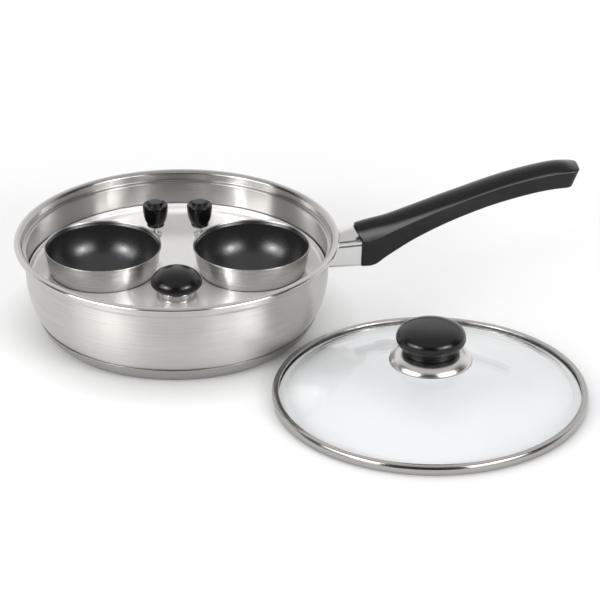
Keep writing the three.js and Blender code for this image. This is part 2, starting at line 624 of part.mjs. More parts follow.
function buildLid() {
  const lid = new THREE.Group();
  const bore = LID_SCREW_RADIUS + BORE_GAP;

  // Above the glass: gasket, skirt, knob and its bush
  const gasketLow = apexZ + FACE_GAP;
  const webLow = gasketLow + WASHER_THICKNESS + FACE_GAP;
  const webTop = webLow + SKIRT_SHEET;
  const brim = domeAt(SKIRT_RADIUS) + GAP;
  const skirt = lathe([
    [bore, webLow], [LID_KNOB_NECK, webLow], [SKIRT_RADIUS - 1.4, brim], [SKIRT_RADIUS, brim],
    [SKIRT_RADIUS, brim + SKIRT_SHEET], [LID_KNOB_NECK + 3.4, webTop - 0.6], [LID_KNOB_NECK, webTop],
    [bore, webTop],
  ], KNOB_SIDES);

  const low = webTop + FACE_GAP;
  const top = low + LID_KNOB_HEIGHT;
  const widest = low + LID_KNOB_HEIGHT * 0.5;
  const bushRadius = bore + BUSH_WALL;
  const bushTop = low + LID_KNOB_HEIGHT * BUSH_SHARE;
  const neck = (share, drawn = 0) => [LID_KNOB_NECK - drawn, low + LID_KNOB_HEIGHT * share];
  const knob = lathe([
    [bushRadius + BORE_GAP, low], neck(0), neck(0.07), neck(0.1, RIB_DEPTH), neck(0.13), neck(0.19),
    neck(0.22, RIB_DEPTH), neck(0.26), [LID_KNOB_RADIUS * 0.97, widest - LID_KNOB_HEIGHT * 0.12],
    ...arc(0, widest, LID_KNOB_RADIUS, top - widest, 0, 90, 7).slice(0, -1), [0, top],
    [0, bushTop + GAP], [bushRadius + BORE_GAP, bushTop + GAP],
  ], KNOB_SIDES);

  // Below the glass: seal, washer and screw
  const sealTop = domeAt(GASKET_RADIUS / 2, GLASS) - FACE_GAP;
  const washerTop = sealTop - WASHER_THICKNESS - FACE_GAP;
  const headSeat = washerTop - WASHER_THICKNESS - FACE_GAP;
  const fastener = screw(LID_SCREW_RADIUS, bore + HEAD_WIDTH, headSeat, bushTop - SHORT_OF_TIP);
  lid.add(
    mesh('lid_glass', lidGlass(), 'glass'),
    mesh('lid_rim', lidRim(), 'steel'),
    mesh('lid_gasket', ring(bore, GASKET_RADIUS, gasketLow, gasketLow + WASHER_THICKNESS), 'silicone'),
    mesh('lid_knob_skirt', skirt, 'polished'),
    mesh('lid_knob', knob, 'phenolic'),
    mesh('lid_knob_bush', ring(bore, bushRadius, low, bushTop, SCREW_SIDES), 'brass'),
    mesh('lid_seal', ring(bore, GASKET_RADIUS / 2, sealTop - WASHER_THICKNESS, sealTop), 'silicone'),
    mesh('lid_washer', ring(bore, GASKET_RADIUS / 2, washerTop - WASHER_THICKNESS, washerTop), 'steel'),
    mesh('lid_screw', fastener, 'steel'),
  );
  const reach = capEdge + LID_CLEAR + lidRadius;
  const bearing = THREE.MathUtils.degToRad(LID_BEARING);
  lid.position.set(reach * Math.cos(bearing), reach * Math.sin(bearing), 0);
  return lid;
}

const poacher = new THREE.Group();
poacher.add(buildPan(), buildInsert(), buildLid());

export default poacher;
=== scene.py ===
# %% [markdown]
# # Dressing an egg poacher pan
# The CAD model gives this pan its sizes, bodies and joints, in plain facets. This lesson loads it as a fixed
# frame, builds a smooth, detailed piece over each node that shows, and gives every surface its own finish.
# Nothing is fitted by eye: both models share one frame, in metres, with the table at height zero.

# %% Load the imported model
import math

import bmesh
import bpy
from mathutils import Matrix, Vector


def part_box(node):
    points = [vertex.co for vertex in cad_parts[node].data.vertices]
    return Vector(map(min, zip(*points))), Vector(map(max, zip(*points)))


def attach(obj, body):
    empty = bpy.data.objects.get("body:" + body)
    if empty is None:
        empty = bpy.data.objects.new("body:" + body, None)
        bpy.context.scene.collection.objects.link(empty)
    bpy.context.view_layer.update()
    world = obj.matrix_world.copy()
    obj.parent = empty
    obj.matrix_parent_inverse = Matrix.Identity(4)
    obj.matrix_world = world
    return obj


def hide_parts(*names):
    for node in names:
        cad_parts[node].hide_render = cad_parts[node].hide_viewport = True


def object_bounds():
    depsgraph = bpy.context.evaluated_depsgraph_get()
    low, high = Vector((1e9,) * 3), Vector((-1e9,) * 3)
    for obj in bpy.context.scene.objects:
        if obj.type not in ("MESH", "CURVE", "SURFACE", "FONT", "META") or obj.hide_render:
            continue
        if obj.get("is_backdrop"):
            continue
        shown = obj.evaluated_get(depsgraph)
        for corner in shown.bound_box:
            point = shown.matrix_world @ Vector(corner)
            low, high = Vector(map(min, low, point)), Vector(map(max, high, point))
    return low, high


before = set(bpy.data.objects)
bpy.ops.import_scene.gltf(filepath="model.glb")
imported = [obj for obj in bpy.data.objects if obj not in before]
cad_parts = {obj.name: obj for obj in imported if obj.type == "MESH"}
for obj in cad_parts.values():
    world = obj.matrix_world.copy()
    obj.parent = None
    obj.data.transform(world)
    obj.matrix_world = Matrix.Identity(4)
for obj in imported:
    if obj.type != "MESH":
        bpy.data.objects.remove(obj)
cad_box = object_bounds()
scene = bpy.context.scene

# %% [markdown]
# ## Drawing outlines
# Nearly everything here is pressed or turned, so one half section describes it. A real section has no perfectly
# sharp corner: sheet steel bends and mouldings have radii, and those small curves catch the light. A list of
# corners with a rounding each is the shortest way to write such a section, in millimetres as on a drawing.

# %% Rounded outlines
MM = 0.001
CORNER_STEPS = 5
MOST_OF_SIDE = 0.49  # a rounding never takes up half of a side


def rounded(corners):
    """Points in metres along (across, up, rounding) corners in millimetres, each corner eased by its rounding."""
    points = []
    for i, (across, up, *ease) in enumerate(corners):
        corner = Vector((across, up))
        if not ease or i in (0, len(corners) - 1):
            points.append(corner)
            continue
        back = Vector(corners[i - 1][:2]) - corner
        ahead = Vector(corners[i + 1][:2]) - corner
        reach = ease[0] / math.tan(back.angle(ahead) / 2)
        start = corner + back.normalized() * min(reach, back.length * MOST_OF_SIDE)
        end = corner + ahead.normalized() * min(reach, ahead.length * MOST_OF_SIDE)
        for k in range(CORNER_STEPS + 1):
            t = k / CORNER_STEPS
            points.append(start.lerp(corner, t).lerp(corner.lerp(end, t), t))
    return [point * MM for point in points]


def fuller(share, fullness):
    """A sine or cosine that a fullness under 1 draws towards 1, with its sign kept."""
    return math.copysign(abs(share) ** fullness, share)


def oval(across, up, half_width, half_height, start, stop, steps, fullness=1):
    """Corners on an elliptical arc between two angles in degrees. A fullness under 1 squares its shoulder."""
    corners = []
    for k in range(steps + 1):
        turn = math.radians(start + (stop - start) * k / steps)
        level, upright = fuller(math.cos(turn), fullness), fuller(math.sin(turn), fullness)
        corners.append((across + half_width * level, up + half_height * upright))
    return corners


print("a square corner of 1 mm rounding has", len(rounded([(0, 0), (5, 0, 1), (5, 5)])) - 2, "points")

# %% [markdown]
# ## Turning and lofting
# A lathe spins a section about an upright axis, which is how the pan, cups, knobs and lid are all formed. A loft
# runs through rings of points instead, for the handle, whose section changes along its length. Both make closed
# meshes with smooth faces, and edges over a set angle stay crisp, so thin sheet keeps its edge.

# %% Turned pieces
SHARP = math.radians(38)
ON_AXIS = 1e-6


def finished(name, shape, centre=(0, 0)):
    """A new object from a bmesh, with its faces turned outwards and shaded smooth."""
    bmesh.ops.recalc_face_normals(shape, faces=shape.faces)
    mesh = bpy.data.meshes.new(name)
    shape.to_mesh(mesh)
    shape.free()
    mesh.shade_smooth()
    mesh.set_sharp_from_angle(angle=SHARP)
    piece = bpy.data.objects.new(name, mesh)
    piece.location = (centre[0], centre[1], 0)
    scene.collection.objects.link(piece)
    return piece


def turned(name, outline, centre=(0, 0), sides=160):
    """A solid spun about the upright axis at centre from an outline in metres, closed on the axis or on itself."""
    shape = bmesh.new()
    rings = []
    for radius, height in outline:
        count = 1 if radius < ON_AXIS else sides
        turns = [2 * math.pi * k / count for k in range(count)]
        rings.append([shape.verts.new((radius * math.cos(t), radius * math.sin(t), height)) for t in turns])
    spans = list(zip(rings, rings[1:]))
    if len(rings[0]) > 1:
        spans.append((rings[-1], rings[0]))
    for low, high in spans:
        for k in range(sides):
            a, b = k % len(low), (k + 1) % len(low)
            c, d = (k + 1) % len(high), k % len(high)
            corners = list(dict.fromkeys([low[a], low[b], high[c], high[d]]))
            if len(corners) > 2:
                shape.faces.new(corners)
    return finished(name, shape, centre)


print("edges over", round(math.degrees(SHARP)), "degrees stay crisp")

# %% Lofted pieces
def lofted(name, rings, hollow=False):
    """A solid through rings of points, capped at both ends, or closed back on itself when it is hollow."""
    shape = bmesh.new()
    loops = [[shape.verts.new(point) for point in ring] for ring in rings]
    spans = list(zip(loops, loops[1:]))
    if hollow:
        spans.append((loops[-1], loops[0]))
    else:
        shape.faces.new(loops[0])
        shape.faces.new(loops[-1])
    for near, far in spans:
        for k in range(len(near)):
            n = (k + 1) % len(near)
            shape.faces.new((near[k], near[n], far[n], far[k]))
    return finished(name, shape)


def axis_of(node):
    """Where a CAD node's upright axis stands: the middle of its box."""
    low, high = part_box(node)
    return (low + high) / 2


print("lid axis at", [round(v, 4) for v in axis_of("lid_glass")[:2]])

# %% [markdown]
# ## Writing shaders as sums
# A finish is arithmetic: a streak pattern times a depth, added to a roughness. Wiring that by hand hides the
# idea, so one small class wraps a socket and lets Python's own operators add the Math nodes. Its `add` method
# makes every other node from its type, its settings and its sockets.

# %% Sockets that can be added and multiplied
class Wire:
    """A node's output in a tree. Arithmetic on it adds Math nodes; add() makes any other node."""

    def __init__(self, tree, socket=None):
        self.tree = tree
        self.socket = socket

    def add(self, kind, settings, sockets, out=0):
        node = self.tree.nodes.new("ShaderNode" + kind)
        for name, value in settings.items():
            setattr(node, name, value)
        for name, value in sockets.items():
            if isinstance(value, Wire):
                self.tree.links.new(value.socket, node.inputs[name])
            else:
                node.inputs[name].default_value = value
        return Wire(self.tree, node.outputs[out] if node.outputs else None)

    def out(self, name):
        return Wire(self.tree, self.socket.node.outputs[name])

    def math(self, operation, *values):
        return self.add("Math", {"operation": operation}, dict(enumerate(values)))

    def __add__(self, other):
        return self.math("ADD", self, other)

    def __sub__(self, other):
        return self.math("SUBTRACT", self, other)

    def __rsub__(self, other):
        return self.math("SUBTRACT", other, self)

    def __mul__(self, other):
        return self.math("MULTIPLY", self, other)

    __radd__ = __add__
    __rmul__ = __mul__


def material(name, recipe):
    """A material whose surface is what recipe makes from the empty tree's first wire."""
    made = bpy.data.materials.new(name)
    made.use_nodes = True
    made.node_tree.nodes.clear()
    start = Wire(made.node_tree)
    start.add("OutputMaterial", {}, {"Surface": recipe(start)})
    return made


def blend(start, mask, first, second):
    """A colour between two others, by a mask from 0 to 1. Each is a wire, or red, green and blue."""
    ends = [end if isinstance(end, Wire) else (*end, 1) for end in (first, second)]
    return start.add("Mix", {"data_type": "RGBA"}, {0: mask, 6: ends[0], 7: ends[1]}, out=2)


print("shader helpers:", Wire.__name__, material.__name__, blend.__name__)

# %% Dressing a piece
def dress(piece, body, finish, nodes=()):
    """Gives a piece its finish and the body that it rides on, and hides the CAD nodes that it stands for."""
    piece.data.materials.append(finish)
    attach(piece, body)
    if nodes:
        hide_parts(*nodes)
    print(f"{piece.name}: {len(piece.data.polygons)} faces on {body}")
    return piece


# %% [markdown]
# ## Steel, brushed and polished
# Sheet steel for pans is finished with abrasive belts or polishing wheels. Brushing leaves fine grooves round the
# pan, which blur reflections across the grooves but not along them: that is why the wall shows upright bars of
# light. The shader's own anisotropy does this about the upright axis of each piece. The grooves themselves are a
# noise that is squeezed across the brushing and drawn out along it. Fine ones feed roughness and bump, and broader
# ones, which the eye can still make out from a step away, feed the colour. The inside of a wall can be glossier
# than its outside and darkened by painted shade, and its lip polished.

# %% Grooves round an upright axis
def grooves(start, fineness, run):
    """A streak pattern from 0 to 1 that runs round the piece's own upright axis."""
    place = start.add("TexCoord", {}, {}, out="Object")
    apart = start.add("SeparateXYZ", {}, {"Vector": place})
    level = start.add("CombineXYZ", {}, {"X": apart.out("X"), "Y": apart.out("Y")})
    radius = start.add("VectorMath", {"operation": "LENGTH"}, {0: level}, out="Value")
    around = start.add("VectorMath", {"operation": "NORMALIZE"}, {0: level})
    round_it = start.add("SeparateXYZ", {}, {"Vector": around})
    across = (radius + apart.out("Z")) * fineness
    turned_by = {"X": round_it.out("X") * run, "Y": round_it.out("Y") * run}
    drawn = start.add("CombineXYZ", {}, {**turned_by, "Z": across})
    return start.add("TexNoise", {}, {"Vector": drawn, "Scale": 1, "Detail": 4, "Roughness": 0.6})


def inside_of(start):
    """1 on faces that look towards the piece's own upright axis, 0 on those that look away from it."""
    place = start.add("TexCoord", {}, {}, out="Object")
    out_way = start.add("VectorMath", {"operation": "MULTIPLY"}, {0: place, 1: (1, 1, 0)})
    out_way = start.add("VectorMath", {"operation": "NORMALIZE"}, {0: out_way})
    facing = start.add("TexCoord", {}, {}, out="Normal")
    outward = start.add("VectorMath", {"operation": "DOT_PRODUCT"}, {0: facing, 1: out_way}, out="Value")
    return start.add("MapRange", {}, {"Value": outward, "From Min": 0.05, "From Max": -0.05})


print("groove helpers:", grooves.__name__, inside_of.__name__)

# %% Brushed steel
BLACK = (0, 0, 0)
GROOVE = 0.00002  # how deep a bump of full strength is, in metres
MID_SHADE, INSIDE_PAINTED_SHADE = 0.78, 0.2
LIP_GLOSS, LIP_EASE = 0.19, 0.0004
ROUND_THE_AXIS = 0.25


def brushed_steel(colour, roughness, depth, lean, contrast, inside=None, lip=None):
    """Steel brushed round its axis. Its inside can be glossier and darkened by painted shade, and its lip polished
    above a height.
    """
    def recipe(start):
        broad = grooves(start, 1300, 3)
        streak = grooves(start, 2600, 5) * 0.75 + broad * 0.25
        gloss = roughness + (streak - 0.5) * 0.08
        shade = MID_SHADE + (broad - 0.5) * contrast
        if inside:
            inner = inside_of(start)
            gloss = gloss - inner * (roughness - inside)
            # painted shade: the inside of the wall is coloured darker than the outside
            shade = shade * (1 - inner * INSIDE_PAINTED_SHADE)
        if lip:
            place = start.add("TexCoord", {}, {}, out="Object")
            height = start.add("SeparateXYZ", {}, {"Vector": place}, out="Z")
            ends = {"From Min": lip - LIP_EASE, "From Max": lip + LIP_EASE}
            polish = start.add("MapRange", {}, {"Value": height, **ends})
            gloss = gloss * (1 - polish) + polish * LIP_GLOSS
        bump = start.add("Bump", {}, {"Strength": depth, "Distance": GROOVE, "Height": streak})
        return start.add("BsdfPrincipled", {}, {
            "Base Color": blend(start, shade, BLACK, [c / MID_SHADE for c in colour]), "Metallic": 1,
            "Roughness": gloss, "Normal": bump, "Anisotropic": lean, "Anisotropic Rotation": ROUND_THE_AXIS,
        })
    return recipe


pan_brushing = brushed_steel((0.60, 0.583, 0.563), 0.38, 0.05, 0.9, 0.36, inside=0.21, lip=0.0582)
wall_steel = material("wall_steel", pan_brushing)
cap_steel = material("cap_steel", brushed_steel((0.40, 0.388, 0.375), 0.36, 0.3, 0.7, 0.3))
cup_steel = material("cup_steel", brushed_steel((0.58, 0.565, 0.547), 0.33, 0.12, 0.85, 0.7))
rim_steel = material("rim_steel", brushed_steel((0.43, 0.42, 0.406), 0.17, 0.12, 0.6, 0.2))
print("brushed steels:", wall_steel.name, cap_steel.name, cup_steel.name, rim_steel.name)

# %% Polished steel
def polished_steel(colour, roughness, metal=1):
    """Steel from the polishing wheel, with faint swirls and clouds. Metal under 1 makes a milkier sheet."""
    def recipe(start):
        swirl = grooves(start, 1500, 6)
        place = start.add("TexCoord", {}, {}, out="Object")
        cloud = start.add("TexNoise", {}, {"Vector": place, "Scale": 35, "Detail": 3, "Roughness": 0.5})
        haze = swirl * 0.4 + cloud * 0.6
        dark = [c * 0.97 for c in colour]
        light = [min(1, c * 1.03) for c in colour]
        bump = start.add("Bump", {}, {"Strength": 0.05, "Distance": GROOVE, "Height": swirl})
        return start.add("BsdfPrincipled", {}, {
            "Base Color": blend(start, haze, dark, light), "Metallic": metal,
            "Roughness": roughness + (haze - 0.5) * 0.06, "Normal": bump,
        })
    return recipe


plate_steel = material("plate_steel", polished_steel((0.95, 0.94, 0.928), 0.2, metal=0.45))
bright_steel = material("bright_steel", polished_steel((0.69, 0.68, 0.665), 0.24))
collar_steel = material("collar_steel", polished_steel((0.46, 0.452, 0.44), 0.15))
print("polished steels:", plate_steel.name, bright_steel.name, collar_steel.name)

# %% Steel brushed along the handle, and plain fastener steel
def straight_steel(colour, roughness, stretch):
    """Steel with straight grooves: the stretch squeezes a noise across them and draws it out along them."""
    def recipe(start):
        place = start.add("TexCoord", {}, {}, out="Object")
        drawn = start.add("VectorMath", {"operation": "MULTIPLY"}, {0: place, 1: stretch})
        streak = start.add("TexNoise", {}, {"Vector": drawn, "Scale": 1, "Detail": 4, "Roughness": 0.6})
        dark = [c * 0.92 for c in colour]
        light = [min(1, c * 1.06) for c in colour]
        bump = start.add("Bump", {}, {"Strength": 0.2, "Distance": GROOVE, "Height": streak})
        return start.add("BsdfPrincipled", {}, {
            "Base Color": blend(start, streak, dark, light), "Metallic": 1,
            "Roughness": roughness + (streak - 0.5) * 0.14, "Normal": bump,
        })
    return recipe


satin_steel = material("satin_steel", straight_steel((0.82, 0.81, 0.79), 0.19, (150, 2600, 2600)))
screw_steel = material("screw_steel", straight_steel((0.62, 0.62, 0.62), 0.32, (900, 900, 300)))
aluminium = material("aluminium", straight_steel((0.78, 0.79, 0.80), 0.42, (500, 500, 500)))
brass = material("brass", straight_steel((0.76, 0.58, 0.30), 0.3, (400, 400, 2400)))
print("straight finishes:", satin_steel.name, screw_steel.name, aluminium.name, brass.name)

# %% [markdown]
# ## Mouldings, coating and rubber
# The grip and knobs are phenolic, a hard black moulding that stays cool. The knobs come out of polished moulds and
# the grip out of a finely etched one, so one recipe serves for both, with a different gloss and grain. Along the
# grip's ridge, a paler colour is painted in as a painted highlight. The cups' non-stick coating is sprayed: it is
# a dark charcoal with a soft gloss and a fine orange-peel texture.

# %% Grained dark finishes
SOFT = {"interpolation_type": "SMOOTHSTEP"}
PEEL = 0.00004  # how deep a grain of full strength is, in metres


def ridge_of(start):
    """1 where a handle along X turns from its crown to its sides, and 0 on the crown, the sides and the underside."""
    facing = start.add("TexCoord", {}, {}, out="Normal")
    apart = start.add("SeparateXYZ", {}, {"Vector": facing})
    sideways = apart.math("ABSOLUTE", apart.out("Y"))
    outward = start.add("MapRange", SOFT, {"Value": sideways, "From Min": 0.64, "From Max": 0.86})
    upward = start.add("MapRange", SOFT, {"Value": apart.out("Z"), "From Min": 0.06, "From Max": 0.4})
    return outward * upward


def grained(colour, roughness, grain, depth, shine, painted_highlight=None):
    """A dark moulding or coating with a fine grain. A moulding can have a painted highlight, a paler colour along its
    ridges.
    """
    def recipe(start):
        place = start.add("TexCoord", {}, {}, out="Object")
        peel = start.add("TexNoise", {}, {"Vector": place, "Scale": grain, "Detail": 3, "Roughness": 0.55})
        cloud = start.add("TexNoise", {}, {"Vector": place, "Scale": 60, "Detail": 2, "Roughness": 0.5})
        dark = [c * 0.8 for c in colour]
        light = [c * 1.2 for c in colour]
        shade = blend(start, peel, dark, light)
        if painted_highlight:
            # painted highlight: the ridge is coloured paler where it would catch the light
            shade = blend(start, ridge_of(start), shade, painted_highlight)
        bump = start.add("Bump", {}, {"Strength": depth, "Distance": PEEL, "Height": peel})
        return start.add("BsdfPrincipled", {}, {
            "Base Color": shade,
            "Roughness": roughness + (peel - 0.5) * 0.08 + (cloud - 0.5) * 0.04, "Normal": bump,
            "Specular IOR Level": shine,
        })
    return recipe


# the second colour is a painted highlight along the grip's ridge
PHENOLIC, PAINTED_RIDGE_HIGHLIGHT = (0.003, 0.003, 0.0031), (0.13, 0.13, 0.13)
grip_black = material("grip_black", grained(PHENOLIC, 0.22, 2600, 0.1, 0.4, painted_highlight=PAINTED_RIDGE_HIGHLIGHT))
knob_black = material("knob_black", grained(PHENOLIC, 0.23, 1600, 0.05, 0.4))
non_stick = material("non_stick", grained((0.0135, 0.0128, 0.0135), 0.28, 2200, 0.15, 0.9))
silicone = material("silicone", grained((0.16, 0.16, 0.16), 0.65, 1800, 0.3, 0.4))
print("dark finishes:", grip_black.name, knob_black.name, non_stick.name, silicone.name)

# %% [markdown]
# ## The glass
# Tempered glass is clear, with a faint cool tint at its edges and a very slight waviness from pressing. A glass
# shader bends light well, but it also blocks the lamps, which would leave a dark patch on the table under the
# lid. So for light on its way from a lamp the surface turns transparent. It bends light a little less than real
# glass does, which keeps the mirror images in it faint.

# %% Clear pressed glass
def pressed_glass(start):
    """Clear glass that bends what is seen through it and lets the lamps' light through."""
    place = start.add("TexCoord", {}, {}, out="Object")
    wave = start.add("TexNoise", {}, {"Vector": place, "Scale": 18, "Detail": 1, "Roughness": 0.4})
    bump = start.add("Bump", {}, {"Strength": 0.05, "Distance": 0.0003, "Height": wave})
    clear = start.add("BsdfPrincipled", {}, {
        "Base Color": (0.75, 0.755, 0.762, 1), "Roughness": 0.012 + wave * 0.012, "Transmission Weight": 1,
        "IOR": 1.3, "Specular IOR Level": 0.05, "Normal": bump,
    })
    open_way = start.add("BsdfTransparent", {}, {"Color": (0.94, 0.96, 0.96, 1)})
    path = start.add("LightPath", {}, {}, out="Is Shadow Ray")
    return start.add("MixShader", {}, {0: path, 1: clear, 2: open_way})


lid_glass = material("lid_glass", pressed_glass)
print("glass:", lid_glass.name)

# %% [markdown]
# ## The pan body
# The body is drawn from one steel sheet. Its mouth steps out to make a ledge for the lid and then turns out into a
# rolled lip, so water pours without running down the wall. Low down it curves in to the base. The section follows
# the sheet up the outside, over the lip and back down the inside. Two faint rings inside the wall mark where the
# handle's bracket is spot-welded, and each is a small loft that follows the wall.

# %% Pan body
pan_section = [
    (0, 5), *oval(80.6, 40, 16.6, 35, -90, 0, 30), (97.2, 50.7, 2), (100, 52.9, 2), (100, 57.2, 0.8),
    (102.9, 57.5, 0.5), *oval(102.2, 58.2, 1.8, 1.7, -20, 90, 10), (100.3, 59.9, 1.6), (99, 58.3, 1.2),
    (99, 53.3, 0.7), (96.2, 53.3, 0.8), *oval(80.6, 40, 15.6, 34, 0, -90, 30), (0, 6),
]
pan = turned("drawn_pan", rounded(pan_section), sides=320)
dress(pan, "pan", wall_steel, ["pan_body"])

# %% Weld marks of the handle bracket
INNER_WALL, WELD_HEIGHT, WELD_SIDES = 96.2, 47.6, 40
WELD_SECTION = [(2.5, -0.05), (2.65, 0.1), (2.95, 0.16), (3.25, 0.1), (3.4, -0.05)]


def weld_mark(name, turn):
    """A faint raised ring on the inside of the wall, where an electrode pressed."""
    rings = []
    for k in range(WELD_SIDES):
        t = 2 * math.pi * k / WELD_SIDES
        ring = []
        for reach, proud in WELD_SECTION:
            a = math.radians(turn) + reach * math.cos(t) / INNER_WALL
            radius, up = INNER_WALL - proud, WELD_HEIGHT + reach * math.sin(t)
            ring.append((radius * math.cos(a) * MM, radius * math.sin(a) * MM, up * MM))
        rings.append(ring)
    return lofted(name, rings, hollow=True)


for name, turn in (("weld_mark_near", -4.2), ("weld_mark_far", 4.2)):
    dress(weld_mark(name, turn), "pan", wall_steel)

# %% [markdown]
# ## The base
# A thick aluminium disc spreads the heat, and a pressed steel cap closes it in. The cap's top edge stops just
# short of the wall and shows as a dark line round the pan. The core stays as the CAD made it, because the cap
# hides it.

# %% Base cap
cap_section = [
    (0, 0), (82.9, 0, 2.4), (87.9, 4.9, 5), (90.3, 10.2, 0.2), (89.6, 10.2, 0.2), (87.1, 5.1, 5),
    (82.6, 0.7, 1.8), (0, 0.7),
]
cap = turned("pressed_base_cap", rounded(cap_section), sides=200)
dress(cap, "pan", cap_steel, ["base_cap"])

# %% [markdown]
# ## The handle
# A steel sleeve covers the bracket at the wall, and a moulded grip slides over its end. Both have upright sides
# under a crowned top, and the edge between them runs the whole length as a bright line, which on the grip is a
# painted highlight. On the sleeve that edge is a small rib between two narrow facets, which mirror the dark room.
# Its crown rises towards the grip, so that the two meet flush, and its inner end follows the wall's curve: each
# point starts where the wall is at that height.
# Both are lofts, because their sections change from ring to ring.

# %% Crowns
CROWN_SHARE, CROWN_STEPS = 0.86, 16  # a crown stops short of the ridge, whose own rounding takes over


def arc(half, rise, foot):
    """Corners on a circular crown that rises over a half width, from one side to the other above a foot height."""
    bow = (half ** 2 + rise ** 2) / (2 * rise)
    sweep = math.degrees(math.asin(min(1, half / bow))) if rise < half else 90
    return oval(0, foot + rise - bow, bow, bow, 90 - sweep * CROWN_SHARE, 90 + sweep * CROWN_SHARE, CROWN_STEPS)


def crowned(low, side, crown):
    """A handle's closed section in metres: along the underside, up one side, over the crown and down the other."""
    other_side = [(-across, *rest) for across, *rest in reversed(side)]
    return rounded([(0, low), *side, *crown, *other_side, (-0.01, low)])


print("a crown has", len(arc(10, 6, 0)), "corners")

# %% Sleeve section
SLEEVE_HALF, SLEEVE_LOW, SLEEVE_SHEET = 10, 35.6, 1.2
RIB, FACET = 0.7, 0.5


def sleeve_outline(inset, ridge, rise):
    """The sleeve's section, drawn in by an inset: outside, a rib runs along its ridge between two facets."""
    half, low, ridge, crown = SLEEVE_HALF - inset, SLEEVE_LOW + inset, ridge - inset / 2, rise - inset / 2
    cut = FACET if inset < SLEEVE_SHEET else 0
    side = [
        (half, low, 2.2), (half, ridge - 3.8, 0.1), (half - cut, ridge - 2.7, 0.1), (half, ridge - 2.5, 0.1),
        (half, ridge - 0.9, 0.3), (half - RIB, ridge - 0.7, 0.1), (half - RIB - cut, ridge + 0.4, 0.1),
    ]
    return crowned(low, side, arc(half - RIB - 1, crown, ridge))


print("sleeve section:", len(sleeve_outline(0, 54, 6)), "points")

# %% Sleeve
RIDGE, RIDGE_DROP = 54.2, 1.2  # the ridge is lower at the wall
WALL_RISE, JOINT_RISE = 2.6, 6  # and the crown flatter
GRIP_FRONT, CROWN_LEAN, SIDE_LEAN = 118.8, 4.4, 0.8
WALL = [(0, 97.2), (50.7, 97.2), (52.9, 100), (57.7, 100), (60, 104)]  # heights and radii of the pan's outside
WALL_GAP = 0.3


def between(points, at):
    """The value at a place on a line of (place, value) points."""
    for (a, low), (b, high) in zip(points, points[1:]):
        if at <= b:
            return low + (high - low) * (at - a) / (b - a)
    return points[-1][1]


def joint_line(up, ridge, low, top):
    """Where the sleeve meets the grip: its crown leans to the pan, and so, by less, do its sides below the ridge."""
    if up > ridge:
        return GRIP_FRONT - CROWN_LEAN * (up - ridge) / (top - ridge)
    return GRIP_FRONT - SIDE_LEAN * (ridge - up) / (ridge - low)


def wall_ring(inset):
    """The sleeve's ring at the wall, which follows the pan's curve."""
    ring = []
    for across, up in sleeve_outline(inset, RIDGE - RIDGE_DROP, WALL_RISE):
        wall = between(WALL, up / MM) + WALL_GAP
        ring.append((math.sqrt(wall ** 2 - (across / MM) ** 2) * MM, across, up))
    return ring


def joint_ring(inset, short):
    """The sleeve's ring at the grip, a little short of the joint line."""
    ring = []
    for across, up in sleeve_outline(inset, RIDGE, JOINT_RISE):
        end = joint_line(up / MM, RIDGE, SLEEVE_LOW, RIDGE + JOINT_RISE)
        ring.append(((end - short) * MM, across, up))
    return ring


outside = [wall_ring(0), joint_ring(0, 0.5)]
lip_and_inside = [joint_ring(0.25, 0.25), joint_ring(SLEEVE_SHEET, 0.25), wall_ring(SLEEVE_SHEET)]
sleeve = lofted("ferrule_sleeve", outside + lip_and_inside, hollow=True)
dress(sleeve, "pan", satin_steel, ["handle_ferrule"])

# %% Grip outlines
# Places along the handle and heights above the table of the crown, the ridge and the underside.
CROWN = [(115.5, 60.5), (124, 63.6), (135, 66.6), (153, 72.6), (170, 78.4), (186, 83.6), (202, 88.9), (218, 93.4),
         (234, 96.9), (244, 98.3), (252, 98), (260, 95.6)]
EDGE = [(117, 54), (124, 54), (133, 57.6), (141, 61.4), (151, 65.8), (167, 72.5), (183, 78.4), (199, 83.9),
        (215, 88.6), (231, 92.2), (242, 94), (252, 95), (260, 95.3)]
UNDER = [(117, 35.5), (126, 35.6), (130, 37.8), (133, 40.4), (141, 45.8), (151, 52), (167, 60.2), (183, 67),
         (199, 72.8), (215, 77.4), (231, 81), (242, 82.6), (252, 83.2), (260, 83.3)]


def along(points, at):
    """The height at a place on a smooth curve through (place, height) points."""
    at = min(max(at, points[0][0]), points[-1][0])
    k = next(i for i in range(len(points) - 1) if at <= points[i + 1][0])
    before, after = points[max(k - 1, 0)], points[min(k + 2, len(points) - 1)]
    (a, low), (b, high) = points[k], points[k + 1]
    t, span = (at - a) / (b - a), b - a
    leave = (high - before[1]) / (b - before[0]) * span
    arrive = (after[1] - low) / (after[0] - a) * span
    return (low * (2 * t ** 3 - 3 * t ** 2 + 1) + leave * (t ** 3 - 2 * t ** 2 + t)
            + high * (3 * t ** 2 - 2 * t ** 3) + arrive * (t ** 3 - t ** 2))


print("the grip's crown peaks near", max(round(along(CROWN, at), 1) for at in range(116, 260)), "mm")

# %% Grip rings
GRIP_END, GRIP_HALF, GRIP_TAPER = 259.8, 10.6, 0.6
VISOR = 16  # how far back the joint line's lean dies away
SLANT, SLANT_START = 0.4, 232  # how the end face slants back under the tip


